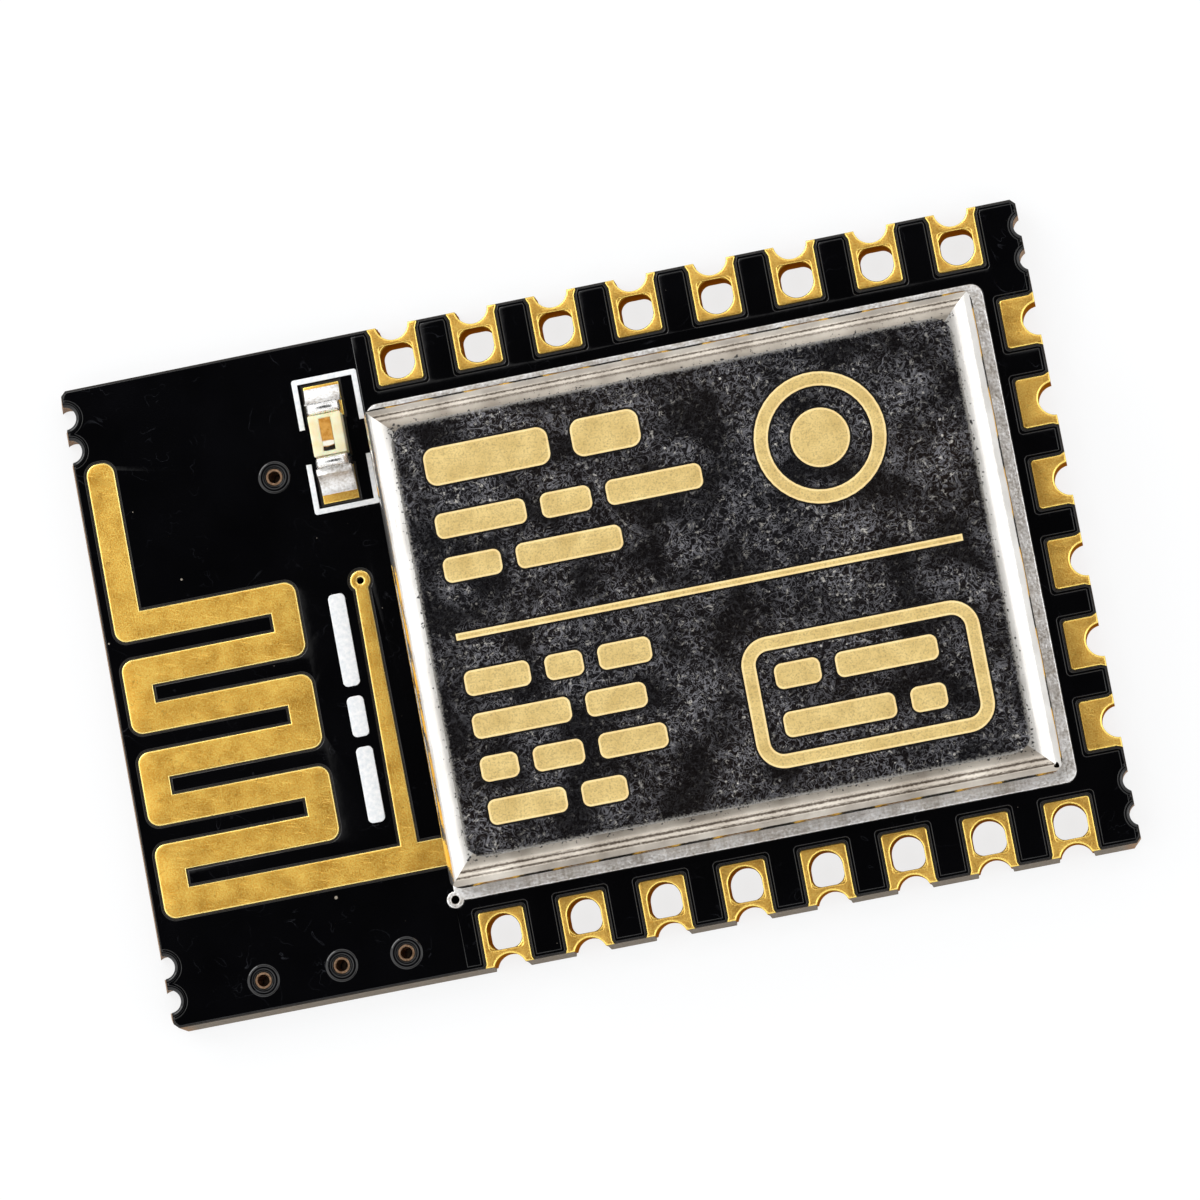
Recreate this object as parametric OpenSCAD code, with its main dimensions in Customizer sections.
// Castellated wireless module: a small circuit board with a folded antenna of
// bare gold at one end, a soldered shield can, plated edge pads on three sides
// and a chip indicator lamp in a printed frame.
// The origin is the middle of the board, on the plane of the lower pads.
// +X runs from the antenna to the far end, +Y across the board, +Z up.

/* [Board] */
// Length of the board at its upper face
board_l = 24; // [23:0.5:28]
// Width of the board at its upper face
board_w = 16; // [15.5:0.5:19]
// Thickness of the glass-fibre core
board_t = 0.8; // [0.6:0.1:1.6]
// How far the routed long sides lean out at the bottom
side_lean = 0.08; // [0.02:0.01:0.15]
// How far the snapped antenna end leans out at the bottom
end_lean = 0.16; // [0.02:0.01:0.25]
// Cut across the four corners
corner_cut = 0.12; // [0.05:0.01:0.3]
// How far the drilled pattern sits off the routed outline, towards -Y
pattern_shift = 0.045; // [0:0.005:0.06]

/* [Copper and mask] */
// Copper and gold on each face
copper_t = 0.04; // [0.03:0.005:0.07]
// Plating on the walls of the holes
plating_t = 0.03; // [0.02:0.005:0.05]
// Solder mask on the bare core
mask_t = 0.03; // [0.015:0.005:0.035]
// Solder mask over copper
mask_cover = 0.02; // [0.01:0.005:0.03]
// Open strip between the mask and bare copper
mask_gap = 0.04; // [0.02:0.01:0.06]
// Clear strip between the ground copper and everything else
pour_gap = 0.13; // [0.1:0.01:0.2]

/* [Edge pads] */
// Most pads along each long side
side_pads_max = 8; // [6:1:8]
// Most pads across the plain end
end_pads_max = 6; // [4:1:6]
// Distance between pad centres
pad_pitch = 2; // [1.8:0.05:2.05]
// Last side pad's centre from the plain end
pad_margin = 1.6; // [1.5:0.05:1.8]
// Width of a side pad
pad_w = 1.14; // [1.06:0.02:1.24]
// How far a side pad reaches in from the edge
pad_reach = 1.41; // [1.36:0.01:1.46]
// Width of an end pad
end_pad_w = 1.22; // [1.1:0.02:1.3]
// How far an end pad reaches in from the edge
end_pad_reach = 0.86; // [0.75:0.01:0.92]
// Radius of the pads' inner corners
pad_corner_r = 0.09; // [0.03:0.01:0.15]
// How far a pad spreads sideways where it meets the edge
pad_flare = 0.06; // [0.01:0.01:0.08]
// Length of that spread
flare_l = 0.14; // [0.08:0.01:0.2]
// Width of the plated hole in a side pad
hole_w = 0.83; // [0.7:0.01:0.9]
// Gold left between that hole and the pad's inner end
hole_rim = 0.12; // [0.06:0.01:0.16]
// The hole's flat wall from the board's edge
hole_flat = 0.44; // [0.41:0.01:0.5]
// Corner radius of the bore at its flat wall
bore_corner_r = 0.27; // [0.2:0.01:0.3]
// Corner radius of the opening above it in the pad's face
face_corner_r = 0.08; // [0.04:0.01:0.14]
// Radius of the half-round edge notches
notch_r = 0.41; // [0.36:0.01:0.43]
// Side notch centre beyond the board's edge
notch_out = 0.09; // [0.05:0.01:0.15]
// End notch centre beyond the board's edge
end_notch_out = 0.03; // [0:0.01:0.1]

/* [Break-off holes] */
// Radius of the break-off drillings
bite_r = 0.29; // [0.2:0.01:0.33]
// Distance between two drillings
bite_pitch = 0.84; // [0.75:0.01:0.95]
// First drilling from the long side
bite_margin = 0.68; // [0.6:0.01:0.75]
// Drilling centre beyond the plain end
bite_out = 0.12; // [0:0.01:0.2]

/* [Antenna] */
// Width of the folded trace
trace_w = 0.71; // [0.6:0.01:0.8]
// Distance from one cross arm to the next
fold_pitch = 1.152; // [1.05:0.01:1.2]
// Cross arms, the last of which is the feed
folds = 7; // [3:2:7]
// Trace from the antenna end of the board
antenna_margin = 0.27; // [0.2:0.01:0.45]
// Reach of the folds along the board
fold_span = 4.62; // [3.8:0.02:4.8]
// Feed arm's centre line from the near long side
feed_y = 3.0; // [2.9:0.05:3.3]
// Free end of the first arm from the far long side
tip_gap = 1.94; // [1.7:0.02:2.1]
// Radius of the outer bends
bend_r = 0.3; // [0.1:0.02:0.34]
// Centre line of the shorting strip from the shield can
strip_gap = 1.0; // [0.9:0.02:1.1]
// Width of the shorting strip at the feed
strip_w = 0.44; // [0.36:0.01:0.5]
// Width of the shorting strip at its via
strip_tip_w = 0.33; // [0.26:0.01:0.36]
// Length of the shorting strip above the feed arm
strip_l = 6.58; // [5:0.1:7]
// Radius of the strip's round end
strip_end_r = 0.26; // [0.2:0.01:0.3]
// Radius of the strip's via
strip_via_r = 0.08; // [0.05:0.01:0.12]

/* [Shield can] */
// Length kept for the antenna, up to the can's wall
antenna_zone = 7.5; // [7.4:0.05:8]
// Can's wall from the plain end of the board
can_end_gap = 1.47; // [1.4:0.01:1.6]
// Can's wall from the near long side
can_near_gap = 1.93; // [1.9:0.01:2.1]
// Can's wall from the far long side
can_far_gap = 2.2; // [2.05:0.01:2.3]
// Height of the can
can_h = 2.05; // [2:0.05:2.6]
// Thickness of its sheet
sheet_t = 0.15; // [0.1:0.01:0.2]
// Radius from the lid to the walls
shoulder_r = 0.6; // [0.3:0.05:0.7]
// Radius of the upright corners
can_corner_r = 0.3; // [0.24:0.02:0.4]
// Relief under each upright corner
relief_l = 0.42; // [0.35:0.01:0.6]
// Height of that relief
relief_h = 0.16; // [0.1:0.01:0.3]
// Opening in the wall round the feed arm
feed_door_w = 1.15; // [1:0.05:1.4]
// Height of that opening
feed_door_h = 0.5; // [0.4:0.05:0.7]
// Radius of the pinch hole in one corner
pinch_r = 0.07; // [0.04:0.01:0.1]
// Solder under and around the can
solder_t = 0.05; // [0.03:0.01:0.08]
// Land beyond the can on the antenna side
land_antenna = 0.12; // [0.08:0.01:0.13]
// Land beyond the can on the plain end
land_end = 0.27; // [0.15:0.01:0.3]
// Land beyond the can on the near side
land_near = 0.19; // [0.12:0.01:0.22]
// Land beyond the can on the far side
land_far = 0.34; // [0.2:0.01:0.38]
// Land inside the can's walls
land_in = 0.3; // [0.2:0.02:0.4]

/* [Lid print] */
// Thickness of the dark field
field_t = 0.012; // [0.008:0.002:0.02]
// Thickness of the pale marks
mark_t = 0.008; // [0.004:0.002:0.012]
// Corner radius of the dark field
field_r = 0.5; // [0.2:0.05:0.8]
// Line width of the drawn marks
mark_line = 0.34; // [0.2:0.02:0.4]
// Height of a printed bar
bar_h = 0.62; // [0.4:0.02:0.66]
// Bare strip round the marks
mark_margin = 0.7; // [0.5:0.05:0.8]
// Radius of the ring mark
ring_mark_r = 1.6; // [1.2:0.05:1.8]
// Length of the frame mark
frame_mark_l = 5.8; // [5.2:0.1:6.2]
// Width of the frame mark
frame_mark_w = 3.2; // [2.8:0.1:3.6]

/* [Indicator] */
// Length of the chip lamp
led_l = 1.68; // [1.5:0.02:1.8]
// Width of the chip lamp
led_w = 0.82; // [0.7:0.02:0.9]
// Height of the chip lamp
led_h = 0.5; // [0.4:0.02:0.6]
// Length of each metal end
led_cap_l = 0.33; // [0.2:0.01:0.4]
// Printed frame from the shield can
frame_gap = 0.16; // [0.16:0.01:0.25]
// Length of the printed frame
frame_l = 3.39; // [3.2:0.01:3.5]
// Width of the printed frame
frame_w = 1.64; // [1.5:0.01:1.7]
// Frame's far end from the long side
frame_margin = 0.88; // [0.8:0.01:1]
// Line width of the print
print_w = 0.135; // [0.1:0.005:0.16]
// Opening in each long side of the frame
frame_break = 0.86; // [0.6:0.02:1.1]
// Thickness of the print
print_t = 0.015; // [0.01:0.005:0.02]
// Height of the bars beside the shorting strip
side_print_h = 0.42; // [0.3:0.02:0.46]

/* [Test vias] */
// Radius of the bore
via_r = 0.15; // [0.1:0.01:0.17]
// Width of the copper rim round it
via_rim = 0.05; // [0.04:0.01:0.07]
// Width of the raised mask round it
via_lip = 0.13; // [0.08:0.01:0.16]
// Radius of the bore tied to the can's land
land_via_r = 0.1; // [0.08:0.01:0.12]
// Width of the solder ring round it
land_ring = 0.11; // [0.08:0.01:0.13]

/* [Chips under the can] */
// Clear strip round each chip
chip_gap = 0.35; // [0.3:0.01:0.4]
// Side of the processor
soc_w = 5; // [4.5:0.1:5.2]
// Height of the processor
soc_h = 0.85; // [0.7:0.05:1]
// Contacts on each side of the processor
soc_contacts = 8; // [6:1:9]
// Side of the memory chip's body
flash_w = 5.2; // [4.8:0.1:5.2]
// Height of the memory chip
flash_h = 1.6; // [1.2:0.1:1.65]
// Span over the memory chip's legs
flash_span = 7.8; // [7.4:0.1:8]
// Distance between two legs
leg_pitch = 1.27; // [1.2:0.01:1.3]
// Width of a leg
leg_w = 0.42; // [0.3:0.02:0.5]
// Thickness of a leg
leg_t = 0.2; // [0.15:0.01:0.25]
// Length of the crystal
crystal_l = 3.2; // [2.5:0.1:3.3]
// Width of the crystal
crystal_w = 2.5; // [2:0.1:2.5]
// Height of the crystal
crystal_h = 0.7; // [0.55:0.05:0.9]
// Length of a small passive chip
chip_l = 1; // [0.9:0.02:1.1]
// Width of a small passive chip
chip_w = 0.5; // [0.4:0.02:0.56]
// Length of its metal ends
chip_end = 0.25; // [0.15:0.01:0.3]
// Growth of its metal ends over the body
chip_lip = 0.02; // [0.01:0.005:0.03]

/* [Hidden] */
$fn = 48;

// Heights of the layers
z_core = copper_t;
z_top = z_core + board_t;
z_copper = z_top + copper_t;
z_can = z_copper + solder_t;
z_lid = z_can + can_h;

// Board edges
x_tip = -board_l / 2;
x_end = board_l / 2;
y_near = -board_w / 2;
y_far = board_w / 2;
y_mid = -pattern_shift;

// Side pads: the last one is pad_margin from the plain end
side_room = board_l - antenna_zone - pad_margin - pad_w / 2 - pour_gap;
side_pads = min(side_pads_max, floor(side_room / pad_pitch) + 1);
side_x = [for (i = [0 : side_pads - 1]) x_end - pad_margin - (side_pads - 1 - i) * pad_pitch];
end_room = board_w - 2 * pad_reach - end_pad_w - 6 * pour_gap;
end_pads = min(end_pads_max, floor(end_room / pad_pitch) + 1);
end_y = [for (i = [0 : end_pads - 1]) (i - (end_pads - 1) / 2) * pad_pitch];
pad_names = [for (i = [1 : 2 * side_pads + end_pads]) str("pad_", i < 10 ? "0" : "", i)];
hole_r = hole_w / 2;
hole_axis = pad_reach - hole_rim - hole_r;
face_step = copper_t / 2;

// Antenna
ant_l = x_tip + antenna_margin;
ant_r = ant_l + fold_span;
ant_mid = (ant_l + ant_r) / 2;
feed_c = y_near + feed_y;
arm_y = [for (i = [0 : folds - 1]) feed_c + (folds - 1 - i) * fold_pitch];

// Shield can and its land
can_x0 = x_tip + antenna_zone;
can_x1 = x_end - can_end_gap;
can_y0 = y_near + can_near_gap;
can_y1 = y_far - can_far_gap;
can_c = [(can_x0 + can_x1) / 2, (can_y0 + can_y1) / 2];
can_l = can_x1 - can_x0;
can_w = can_y1 - can_y0;
land_x0 = can_x0 - land_antenna;
land_x1 = can_x1 + land_end;
land_y0 = can_y0 - land_near;
land_y1 = can_y1 + land_far;
land_r = can_corner_r;
land_via = [land_x0, land_y0 + via_rim];
field_l = can_l - 2 * shoulder_r;
field_w = can_w - 2 * shoulder_r;

// Ground copper, and the passage that the feed arm takes through it
ground_x0 = land_x0;
feed_in = 0.9;
feed_clear = trace_w / 2 + 0.15;

// Shorting strip
strip_x = can_x0 - strip_gap;
strip_y0 = feed_c + trace_w / 2;
strip_end_y = strip_y0 + strip_l;

// Chip lamp and its frame
frame_c = [can_x0 - frame_gap - frame_w / 2, y_far - frame_margin - frame_l / 2];
led_c = frame_c + [-0.11, 0.16];
side_print_gap = 0.66;
led_land_l = 0.85;
led_land_w = led_w + 0.08;
led_land_y = 1.05;
led_land_far = frame_c[1] + led_land_y + led_land_l / 2 - led_c[1] - led_l / 2 - 0.1;
led_land_near = led_c[1] - led_l / 2 - frame_c[1] + led_land_y + led_land_l / 2 - 0.25;
led_foot_t = 0.03;
led_cap_r = 0.12;
led_strip_w = 0.28;
led_strip_l = 0.8;
led_strip_t = 0.08;

// Test vias, measured from the antenna end and the near side
via_at = [[2.38, 0.75], [4.34, 0.75], [5.96, 0.75], [4.87, board_w - 3.14]];
via_c = [for (v = via_at) [x_tip + v[0], y_near + v[1]]];
via_names = [for (i = [1 : len(via_at)]) str("test_via_", i)];

// Chips under the can, set out from its walls
contact_t = 0.05;
flash_legs_a_side = 4;
flash_lift = flash_h / 2;
flash_clear = 0.1;
crystal_lid_t = 0.2;
crystal_rim = 0.12;
crystal_land = [0.36 * crystal_l, 0.36 * crystal_w];
land_lip = 0.2;
in_x0 = can_x0 + sheet_t + chip_gap;
in_x1 = can_x1 - sheet_t - chip_gap;
in_y0 = can_y0 + sheet_t + chip_gap;
in_y1 = can_y1 - sheet_t - chip_gap;
soc_c = [in_x0 + chip_w + chip_gap + soc_w / 2, in_y1 - crystal_w - chip_gap - soc_w / 2];
crystal_c = [soc_c[0], in_y1 - crystal_w / 2];
flash_c = [in_x1 - flash_w / 2, (in_y0 + in_y1) / 2];
chip_row_y = in_y0 + land_lip + chip_l / 2;
chip_row_x = soc_c[0] - soc_w / 2 + chip_l;
chip_step = chip_w + chip_gap;
beside_soc = soc_c[0] - soc_w / 2 - chip_gap - chip_w / 2;
beside_crystal = crystal_l / 2 + chip_gap + chip_w;
capacitor_at = [
    [beside_soc, soc_c[1] + chip_l + land_lip],
    [beside_soc, soc_c[1] - chip_l - land_lip],
    [crystal_c[0] - beside_crystal, crystal_c[1]],
    [crystal_c[0] + beside_crystal, crystal_c[1]],
    [chip_row_x, chip_row_y],
    [chip_row_x + chip_step, chip_row_y]];
resistor_at = [for (i = [2 : 4]) [chip_row_x + i * chip_step, chip_row_y]];
inductor_at = [can_x0 + feed_in - chip_end + chip_l / 2, feed_c];
capacitor_names = [for (i = [1 : len(capacitor_at)]) str("capacitor_", i)];
resistor_names = [for (i = [1 : len(resistor_at)]) str("resistor_", i)];

// ---- Shared outlines ----

// Rounded rectangle between two corners
module slab(x0, y0, x1, y1, r) {
    for (x = [x0 + r, x1 - r], y = [y0 + r, y1 - r]) translate([x, y]) circle(r);
    translate([x0 + r, y0]) square([x1 - x0 - 2 * r, y1 - y0]);
    translate([x0, y0 + r]) square([x1 - x0, y1 - y0 - 2 * r]);
}

// Square-cornered rectangle between two corners
module plate(x0, y0, x1, y1) {
    translate([x0, y0]) square([x1 - x0, y1 - y0]);
}

// Plated hole of a side pad, in pad axes: the board's edge is y = 0 and the
// board lies towards +y. grow widens it all round.
module hole_outline(corner_r, grow) {
    translate([0, hole_axis]) circle(hole_r + grow);
    slab(-hole_r - grow, hole_flat - grow, hole_r + grow, hole_axis + corner_r, corner_r + grow);
}

module notch_outline(out, grow) {
    translate([0, -out]) circle(notch_r + grow);
}

// Full outline of a pad, before its hole and notch are cut
module pad_outline(w, reach, grow) {
    half = w / 2 + grow;
    slab(-half, -reach, half, reach + grow, pad_corner_r);
    polygon([[-half, flare_l], [-half - pad_flare, 0], [-half - pad_flare, -reach],
        [half + pad_flare, -reach], [half + pad_flare, 0], [half, flare_l]]);
}

// Puts the children at side pad or end pad number i, in pad axes
module at_pad(i) {
    if (i < side_pads)
        translate([side_x[i], y_near, 0]) children();
    else if (i < side_pads + end_pads)
        translate([x_end, end_y[i - side_pads], 0]) rotate([0, 0, 90]) children();
    else
        translate([side_x[2 * side_pads + end_pads - 1 - i], y_far, 0])
            rotate([0, 0, 180]) children();
}

function is_end_pad(i) = i >= side_pads && i < side_pads + end_pads;
function row_shift(i) = is_end_pad(i) ? 0 : i < side_pads ? -pattern_shift : pattern_shift;

// Everything drilled through the board at pad i
module pad_drilling(i, grow, corner_r = bore_corner_r) {
    at_pad(i) {
        if (is_end_pad(i))
            notch_outline(end_notch_out, grow);
        else
            translate([0, row_shift(i)]) {
                hole_outline(corner_r, grow);
                notch_outline(notch_out, grow);
            }
    }
}

module all_pad_drilling(grow) {
    for (i = [0 : len(pad_names) - 1]) pad_drilling(i, grow);
}

// Copper outline of pad i, clipped at the board's edge
module pad_copper(i, grow) {
    at_pad(i)
        intersection() {
            if (is_end_pad(i))
                pad_outline(end_pad_w, end_pad_reach, grow);
            else
                translate([0, row_shift(i)]) pad_outline(pad_w, pad_reach, grow);
            translate([-board_w, 0]) square([2 * board_w, board_w]);
        }
}

module break_off_drilling(grow) {
    for (y = [bite_margin, bite_margin + bite_pitch], s = [-1, 1]) {
        translate([x_tip, s * (y_far - y)]) circle(bite_r + grow);
        translate([x_end + bite_out, s * (y_far - y)]) circle(bite_r + grow);
    }
}

// Diamond whose sides cut the board's corners
module corner_trim(inset) {
    rotate(45)
        square(sqrt(2) * ((board_l + board_w) / 2 - corner_cut) - 2 * inset, center = true);
}

// Board seen from above, pulled in by inset
module board_outline(inset) {
    intersection() {
        plate(x_tip + inset, y_near + inset, x_end - inset, y_far - inset);
        corner_trim(inset);
    }
}

module via_bores(grow) {
    for (c = via_c) translate(c) circle(via_r + grow);
}

// ---- Board ----

// Core with its long sides and its antenna end leaning out below
module board_blank() {
    intersection() {
        rotate([90, 0, 90])
            linear_extrude(board_l + 2 * end_lean, center = true)
                polygon([[y_near - side_lean, z_core], [y_far + side_lean, z_core],
                    [y_far, z_top], [y_near, z_top]]);
        rotate([90, 0, 0])
            linear_extrude(board_w + 2 * side_lean, center = true)
                polygon([[x_tip - end_lean, z_core], [x_end, z_core], [x_end, z_top], [x_tip, z_top]]);
        linear_extrude(2 * z_top) corner_trim(0);
    }
}

module board_drilling() {
    all_pad_drilling(plating_t);
    break_off_drilling(0);
    via_bores(plating_t);
    translate(land_via) circle(land_via_r + plating_t);
    translate([strip_x, strip_end_y]) circle(strip_via_r);
}

module board() {
    color("#8a7a4e")
        difference() {
            board_blank();
            translate([0, 0, z_core - board_t]) linear_extrude(3 * board_t) board_drilling();
        }
}

// Copper that every ground pad and the can's land share, under the mask
module ground_outline(grow) {
    translate(land_via) circle(land_via_r + land_ring + grow);
    difference() {
        plate(ground_x0 - grow, y_near + pour_gap - grow, x_end - pour_gap + grow, y_far - pour_gap + grow);
        plate(can_x0 + land_in + grow, can_y0 + land_in + grow,
            can_x1 - land_in - grow, can_y1 - land_in - grow);
        feed_passage(-grow);
        for (i = [0 : len(pad_names) - 1]) pad_copper(i, pour_gap - grow);
        for (i = [0 : len(pad_names) - 1]) pad_drilling(i, pour_gap - grow);
        break_off_drilling(pour_gap - grow);
    }
}

// Gap in the ground copper and the land for the feed arm
module feed_passage(grow) {
    plate(ground_x0 - antenna_zone, feed_c - feed_clear - grow,
        can_x0 + 2 * land_in, feed_c + feed_clear + grow);
}

module ground_copper() {
    color("#b5763a")
        translate([0, 0, z_top])
            linear_extrude(copper_t)
                difference() {
                    ground_outline(0);
                    translate(land_via) circle(land_via_r);
                }
}

// ---- Antenna ----

// Two cross arms and the bend that joins them at side_x
module fold_outline(side_x, y_high, y_low, grow) {
    s = side_x > ant_mid ? 1 : -1;
    xs = side_x + s * grow;
    r = bend_r + grow;
    top = y_high + trace_w / 2 + grow;
    low = y_low - trace_w / 2 - grow;
    difference() {
        union() {
            plate(min(ant_mid, xs - s * r), low, max(ant_mid, xs - s * r), top);
            plate(min(ant_mid, xs), low + r, max(ant_mid, xs), top - r);
            for (y = [top - r, low + r]) translate([xs - s * r, y]) circle(r);
        }
        slot_end = side_x - s * (trace_w + grow);
        plate(min(ant_mid - s, slot_end), y_low + trace_w / 2 + grow,
            max(ant_mid - s, slot_end), y_high - trace_w / 2 - grow);
    }
}

// First arm: up the antenna end to the free tip
module tip_outline(grow) {
    low = arm_y[0] - trace_w / 2 - grow;
    slab(ant_l - grow, low, ant_l + trace_w + grow, y_far - tip_gap + grow, bend_r + grow);
    plate(ant_l + bend_r, low, ant_mid, low + trace_w + 2 * grow);
}

// Shorting strip, narrower towards its via
module strip_outline(grow) {
    polygon([[strip_x - strip_w / 2 - grow, strip_y0], [strip_x + strip_w / 2 + grow, strip_y0],
        [strip_x + strip_tip_w / 2 + grow, strip_end_y], [strip_x - strip_tip_w / 2 - grow, strip_end_y]]);
    translate([strip_x, strip_end_y]) circle(strip_end_r + grow);
}

module antenna_outline(grow) {
    tip_outline(grow);
    for (i = [0 : folds - 2])
        fold_outline(i % 2 == 0 ? ant_r : ant_l, arm_y[i], arm_y[i + 1], grow);
    plate(ant_mid, feed_c - trace_w / 2 - grow, can_x0 + feed_in, feed_c + trace_w / 2 + grow);
    strip_outline(grow);
}

module antenna() {
    color("#e6b04a")
        translate([0, 0, z_top])
            linear_extrude(copper_t)
                difference() {
                    antenna_outline(0);
                    translate([strip_x, strip_end_y]) circle(strip_via_r);
                }
}

// ---- Edge pads: upper land, plated walls and lower land in one ----

module pad_face(i, thickness, corner_r) {
    linear_extrude(thickness)
        difference() {
            pad_copper(i, 0);
            pad_drilling(i, 0, corner_r);
        }
}

module pad_wall(i) {
    linear_extrude(board_t)
        difference() {
            intersection() {
                pad_drilling(i, plating_t);
                pad_copper(i, 0);
            }
            pad_drilling(i, 0);
        }
}

module edge_pad(i) {
    color("#d9ab52") {
        pad_face(i, copper_t, bore_corner_r);
        translate([0, 0, z_core]) pad_wall(i);
        translate([0, 0, z_top]) pad_face(i, face_step, bore_corner_r);
        translate([0, 0, z_top + face_step]) pad_face(i, copper_t - face_step, face_corner_r);
    }
}

// ---- Solder mask ----

// Bare copper and drillings that both masks keep clear of
module shared_openings() {
    for (i = [0 : len(pad_names) - 1]) {
        pad_copper(i, mask_gap);
        pad_drilling(i, mask_gap);
    }
    break_off_drilling(mask_gap);
}

module land_outline(grow) {
    slab(land_x0 - grow, land_y0 - grow, land_x1 + grow, land_y1 + grow, land_r + grow);
    translate(land_via) circle(land_via_r + land_ring + grow);
}

module led_land_outline(grow) {
    for (s = [-1, 1])
        translate([led_c[0], frame_c[1] + s * led_land_y])
            square([led_land_w + 2 * grow, led_land_l + 2 * grow], center = true);
}

// Raised lips that the mask forms round drillings
module mask_lips() {
    via_bores(via_rim + mask_gap / 2 + via_lip);
    intersection() {
        break_off_drilling(mask_gap + via_lip);
        board_outline(mask_gap);
    }
}

module mask_top() {
    color("#15171a")
        translate([0, 0, z_top])
            difference() {
                union() {
                    linear_extrude(mask_t) board_outline(mask_gap);
                    linear_extrude(mask_t + mask_cover) mask_lips();
                    linear_extrude(copper_t + mask_cover) ground_outline(mask_cover);
                }
                translate([0, 0, -copper_t])
                    linear_extrude(4 * copper_t) {
                        shared_openings();
                        via_bores(via_rim + mask_gap / 2);
                        antenna_outline(mask_gap);
                        land_outline(0);
                        led_land_outline(mask_gap);
                    }
                translate([0, 0, -copper_t]) linear_extrude(2 * copper_t) ground_outline(0);
            }
}

// The lower mask closes every via from below
module mask_bottom() {
    color("#15171a")
        translate([0, 0, z_core - mask_t])
            linear_extrude(mask_t)
                difference() {
                    board_outline(mask_gap);
                    shared_openings();
                }
}

// ---- Test vias ----

module test_via(i) {
    color("#b5763a")
        translate(via_c[i])
            difference() {
                union() {
                    translate([0, 0, z_core]) cylinder(r = via_r + plating_t, h = board_t);
                    translate([0, 0, z_top]) cylinder(r = via_r + via_rim, h = copper_t);
                }
                cylinder(r = via_r, h = 2 * z_top);
            }
}

// ---- Shield can ----

// Solder round the foot of the can, open where the feed arm passes
module can_land() {
    color("#c9cbcc")
        translate([0, 0, z_copper])
            linear_extrude(solder_t)
                difference() {
                    land_outline(0);
                    plate(can_x0 + land_in, can_y0 + land_in, can_x1 - land_in, can_y1 - land_in);
                    feed_passage(0);
                    translate(land_via) circle(land_via_r);
                }
}

// Side view of the can: straight walls with round shoulders
module shoulder_profile(w, h, r, foot) {
    translate([-w / 2, -foot]) square([w, h + foot - r]);
    translate([-w / 2 + r, -foot]) square([w - 2 * r, h + foot]);
    for (s = [-1, 1]) translate([s * (w / 2 - r), h - r]) circle(r);
}

// Drawn form whose shoulders meet in a mitre at each corner
module can_form(inset, foot) {
    l = can_l - 2 * inset;
    w = can_w - 2 * inset;
    h = can_h - inset;
    intersection() {
        rotate([90, 0, 90])
            linear_extrude(l, center = true) shoulder_profile(w, h, shoulder_r - inset, foot);
        rotate([90, 0, 0])
            linear_extrude(w, center = true) shoulder_profile(l, h, shoulder_r - inset, foot);
        translate([0, 0, -foot])
            linear_extrude(h + foot) slab(-l / 2, -w / 2, l / 2, w / 2, can_corner_r - inset);
    }
}

module feed_door() {
    translate([-can_l / 2, feed_c - can_c[1], 0])
        rotate([90, 0, 90])
            linear_extrude(4 * sheet_t, center = true)
                shoulder_profile(feed_door_w, feed_door_h, feed_door_w / 4, sheet_t);
}

module shield_can() {
    color("#d5d3ce")
        translate([can_c[0], can_c[1], z_can])
            difference() {
                can_form(0, 0);
                can_form(sheet_t, sheet_t);
                feed_door();
                for (sx = [-1, 1], sy = [-1, 1])
                    translate([sx * can_l / 2, sy * can_w / 2, 0])
                        cube([2 * relief_l, 2 * relief_l, 2 * relief_h], center = true);
                translate([can_l / 2 - shoulder_r, -can_w / 2 + shoulder_r, can_h - shoulder_r])
                    rotate([0, 60, -45]) cylinder(r = pinch_r, h = 2 * shoulder_r);
            }
}

// ---- Lid print ----

module lid_field() {
    color("#26262a")
        translate([can_c[0], can_c[1], z_lid])
            linear_extrude(field_t)
                slab(-field_l / 2, -field_w / 2, field_l / 2, field_w / 2, field_r);
}

// Printed bars in a row from x, their lengths counted in bar heights
module bar_row(x, y, lengths, h) {
    for (i = [0 : len(lengths) - 1]) {
        x0 = x + (sum_to(lengths, i - 1) + 0.6 * i) * h;
        slab(x0, y - h / 2, x0 + lengths[i] * h, y + h / 2, 0.3 * h);
    }
}

function sum_to(list, i) = i < 0 ? 0 : list[i] + sum_to(list, i - 1);

module ring_mark(r) {
    difference() {
        circle(r);
        circle(r - mark_line);
    }
    circle(0.45 * r);
}

module frame_mark(l, w, r) {
    difference() {
        slab(-l / 2, -w / 2, l / 2, w / 2, r);
        slab(-l / 2 + mark_line, -w / 2 + mark_line, l / 2 - mark_line, w / 2 - mark_line, r - mark_line);
    }
}

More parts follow.
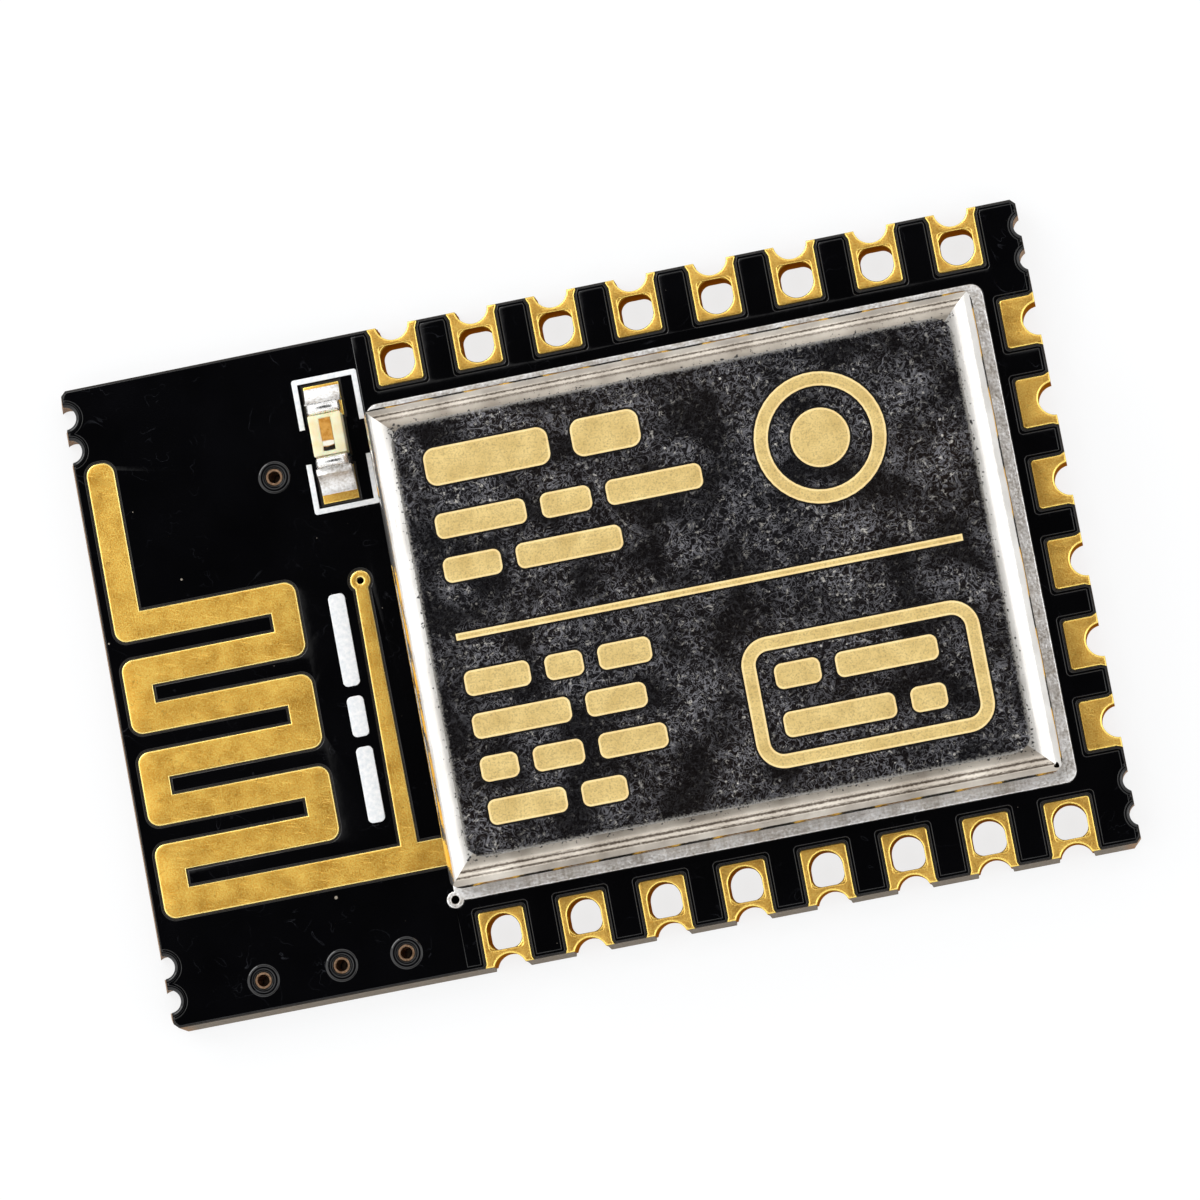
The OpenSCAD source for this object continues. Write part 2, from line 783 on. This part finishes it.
// Generic print: bars on the left, a ring and a frame on the right
module mark_outlines() {
    left = -field_l / 2 + mark_margin;
    right = field_l / 2 - mark_margin;
    top = field_w / 2 - mark_margin;
    low = -top;
    bar_row(left, top - 0.75 * bar_h, [3.3, 1.8], 1.5 * bar_h);
    for (i = [0 : 1]) bar_row(left, top - (3.1 + 1.75 * i) * bar_h, [[3.6, 2, 3.8], [2.3, 4.2]][i], bar_h);
    for (i = [0 : 3])
        bar_row(left, low + (0.5 + 1.7 * i) * bar_h,
            [[3.1, 1.8], [1.5, 2, 2.7], [3.9, 2.4], [2.6, 1.5, 2.1]][i], bar_h);
    plate(left, -mark_line / 4, right, mark_line / 4);
    translate([right - frame_mark_l / 2, top - ring_mark_r]) ring_mark(ring_mark_r);
    translate([right - frame_mark_l / 2, low + frame_mark_w / 2]) {
        frame_mark(frame_mark_l, frame_mark_w, 2 * mark_line);
        for (i = [0 : 1])
            bar_row(-frame_mark_l / 2 + 2.2 * mark_line, (0.95 - 1.9 * i) * bar_h,
                [[1.8, 4], [4.4, 1.4]][i], bar_h);
    }
}

module lid_marks() {
    color("#e3cf8a")
        translate([can_c[0], can_c[1], z_lid + field_t]) linear_extrude(mark_t) mark_outlines();
}

// ---- Board print ----

module lamp_frame_outline() {
    difference() {
        slab(-frame_w / 2, -frame_l / 2, frame_w / 2, frame_l / 2, print_w / 2);
        plate(-frame_w / 2 + print_w, -frame_l / 2 + print_w, frame_w / 2 - print_w, frame_l / 2 - print_w);
        square([2 * frame_w, frame_break], center = true);
    }
}

module silk_print() {
    color("#f2f3f2")
        translate([0, 0, z_top + mask_t])
            linear_extrude(print_t) {
                translate(frame_c) lamp_frame_outline();
                translate([strip_x - side_print_gap, strip_y0 + side_print_gap])
                    rotate(90) bar_row(0, 0, [4.5, 2.4, 5.5], side_print_h);
            }
}

// ---- Chip lamp ----

module led_lands() {
    color("#c98f45")
        translate([0, 0, z_top]) linear_extrude(copper_t) led_land_outline(0);
}

// Clear body between the metal ends, with the light strip let into its top
module led_body() {
    color("#efe6cc")
        translate([led_c[0], led_c[1], z_copper])
            difference() {
                translate([0, 0, led_h / 2])
                    cube([led_w, led_l - 2 * led_cap_l, led_h], center = true);
                translate([0, 0, led_h]) cube([led_strip_w, led_strip_l, 2 * led_strip_t], center = true);
            }
}

module led_strip() {
    color("#c99a55")
        translate([led_c[0], led_c[1], z_copper + led_h - led_strip_t / 2])
            cube([led_strip_w, led_strip_l, led_strip_t], center = true);
}

// Metal end with a rounded outer top edge
module led_cap(s) {
    color("#d8d8d6")
        translate([led_c[0], led_c[1], z_copper])
            rotate([90, 0, s > 0 ? 90 : -90])
                translate([led_l / 2 - led_cap_l, 0, 0])
                    linear_extrude(led_w, center = true)
                        difference() {
                            slab(-led_cap_l, 0, led_cap_l, led_h, led_cap_r);
                            plate(-2 * led_cap_l, -led_h, 0, 2 * led_h);
                        }
}

// Solder drawn up the metal end in a hollow curve
module led_solder(s) {
    run = s > 0 ? led_land_far : led_land_near;
    rise = 0.75 * led_h;
    r = (run * run + rise * rise) / (2 * run);
    color("#cfd2d3")
        translate([led_c[0], led_c[1], z_copper])
            rotate([90, 0, s > 0 ? 90 : -90])
                translate([led_l / 2, 0, 0])
                    linear_extrude(led_w - 0.04, center = true)
                        difference() {
                            square([run, rise]);
                            translate([run, r + led_foot_t]) circle(r);
                        }
}

// ---- Chips under the can ----

module at_chip(p, turn) {
    translate([p[0], p[1], z_copper]) rotate([0, 0, turn]) children();
}

// Sintered chip: metal ends fired round a bar
module passive(h) {
    translate([0, 0, h / 2])
        union() {
            cube([chip_l - chip_end, chip_w - 2 * chip_lip, h - 2 * chip_lip], center = true);
            for (s = [-1, 1])
                translate([s * (chip_l - chip_end) / 2, 0, 0]) cube([chip_end, chip_w, h], center = true);
        }
}

module capacitor(i) {
    color("#b08a5e") at_chip(capacitor_at[i], 90) passive(chip_w);
}

module resistor(i) {
    color("#2b2b2d") at_chip(resistor_at[i], 90) passive(0.7 * chip_w);
}

module inductor() {
    color("#6f8fa8") at_chip(inductor_at, 0) passive(chip_w);
}

// Contacts round the processor's underside and its heat pad
module soc_contact_outline(grow) {
    span = 0.72 * soc_w;
    for (side = [0 : 3], i = [0 : soc_contacts - 1])
        rotate(90 * side)
            translate([0.46 * soc_w, (i / (soc_contacts - 1) - 0.5) * span])
                square([0.08 * soc_w + 2 * grow, 0.5 * span / soc_contacts + 2 * grow], center = true);
    square(0.62 * soc_w, center = true);
}

module soc_contacts() {
    color("#c7c9c8")
        translate([soc_c[0], soc_c[1], z_copper]) linear_extrude(contact_t) soc_contact_outline(0);
}

module soc_body() {
    color("#1c1d20")
        translate([soc_c[0], soc_c[1], z_copper + contact_t])
            difference() {
                translate([0, 0, soc_h / 2]) cube([soc_w, soc_w, soc_h], center = true);
                translate([-0.38 * soc_w, 0.38 * soc_w, soc_h])
                    cylinder(r = 0.05 * soc_w, h = contact_t, center = true);
            }
}

// Quarter disc in the corner that sx and sy point to
module quarter_disc(r, sx, sy) {
    intersection() {
        circle(r);
        plate(min(0, sx * r), min(0, sy * r), max(0, sx * r), max(0, sy * r));
    }
}

// Side view of a leg: out of the body, down, and out again as a foot
module leg_profile() {
    knee = flash_w / 2 + leg_t;
    plate(flash_w / 2, flash_lift, knee, flash_lift + leg_t);
    translate([knee, flash_lift]) quarter_disc(leg_t, 1, 1);
    plate(knee, leg_t, knee + leg_t, flash_lift);
    translate([knee + leg_t, leg_t]) quarter_disc(leg_t, -1, -1);
    plate(knee + leg_t, 0, flash_span / 2, leg_t);
}

// Puts the children at each leg, with +x pointing away from the body
module at_legs() {
    for (side = [90, -90], i = [0 : flash_legs_a_side - 1])
        translate([flash_c[0] + (i - (flash_legs_a_side - 1) / 2) * leg_pitch, flash_c[1], z_copper])
            rotate([0, 0, side]) children();
}

module flash_legs() {
    color("#c7c9c8")
        at_legs() rotate([90, 0, 0]) linear_extrude(leg_w, center = true) leg_profile();
}

module flash_body() {
    color("#1c1d20")
        translate([flash_c[0], flash_c[1], z_copper + flash_clear])
            difference() {
                translate([0, 0, (flash_h - flash_clear) / 2])
                    cube([flash_w, flash_w, flash_h - flash_clear], center = true);
                translate([-0.35 * flash_w, -0.35 * flash_w, flash_h - flash_clear])
                    cylinder(r = 0.07 * flash_w, h = contact_t, center = true);
            }
}

module crystal_base() {
    color("#4a4438")
        translate([crystal_c[0], crystal_c[1], z_copper])
            linear_extrude(crystal_h - crystal_lid_t)
                slab(-crystal_l / 2, -crystal_w / 2, crystal_l / 2, crystal_w / 2, crystal_rim);
}

module crystal_lid() {
    color("#cfcfc8")
        translate([crystal_c[0], crystal_c[1], z_copper + crystal_h - crystal_lid_t])
            linear_extrude(crystal_lid_t)
                slab(-crystal_l / 2 + crystal_rim, -crystal_w / 2 + crystal_rim,
                    crystal_l / 2 - crystal_rim, crystal_w / 2 - crystal_rim, crystal_rim);
}

// Copper lands that the chips stand on
module chip_lands() {
    color("#c98f45") {
        translate([0, 0, z_top])
            linear_extrude(copper_t) {
                for (p = concat(capacitor_at, resistor_at), s = [-1, 1]) chip_land(p, 90, s);
                chip_land(inductor_at, 0, 1);
                translate(soc_c) soc_contact_outline(chip_lip);
                for (sx = [-1, 1], sy = [-1, 1])
                    translate(crystal_c + [sx * (crystal_l - crystal_land[0]) / 2,
                        sy * (crystal_w - crystal_land[1]) / 2])
                        square(crystal_land, center = true);
            }
        translate([0, 0, -copper_t])
            at_legs()
                translate([flash_span / 2 - chip_l / 2 + land_lip / 2, 0, copper_t / 2])
                    cube([chip_l, leg_w + land_lip / 2, copper_t], center = true);
    }
}

module chip_land(p, turn, s) {
    translate(p)
        rotate(turn)
            translate([s * (chip_l - chip_end + land_lip) / 2, 0])
                square([chip_end + land_lip, chip_w + 2 * chip_lip], center = true);
}

// ---- The nodes ----

board();
mask_top();
mask_bottom();
ground_copper();
antenna();
for (i = [0 : len(pad_names) - 1])
    edge_pad(i);
can_land();
shield_can();
lid_field();
lid_marks();
silk_print();
led_lands();
led_body();
led_strip();
led_cap(1);  // led_cap_1
led_cap(-1);  // led_cap_2
led_solder(1);  // led_solder_1
led_solder(-1);  // led_solder_2
for (i = [0 : len(via_names) - 1])
    test_via(i);
chip_lands();
soc_body();
soc_contacts();
flash_body();
flash_legs();
crystal_base();
crystal_lid();
for (i = [0 : len(capacitor_names) - 1])
    capacitor(i);
for (i = [0 : len(resistor_names) - 1])
    resistor(i);
inductor();
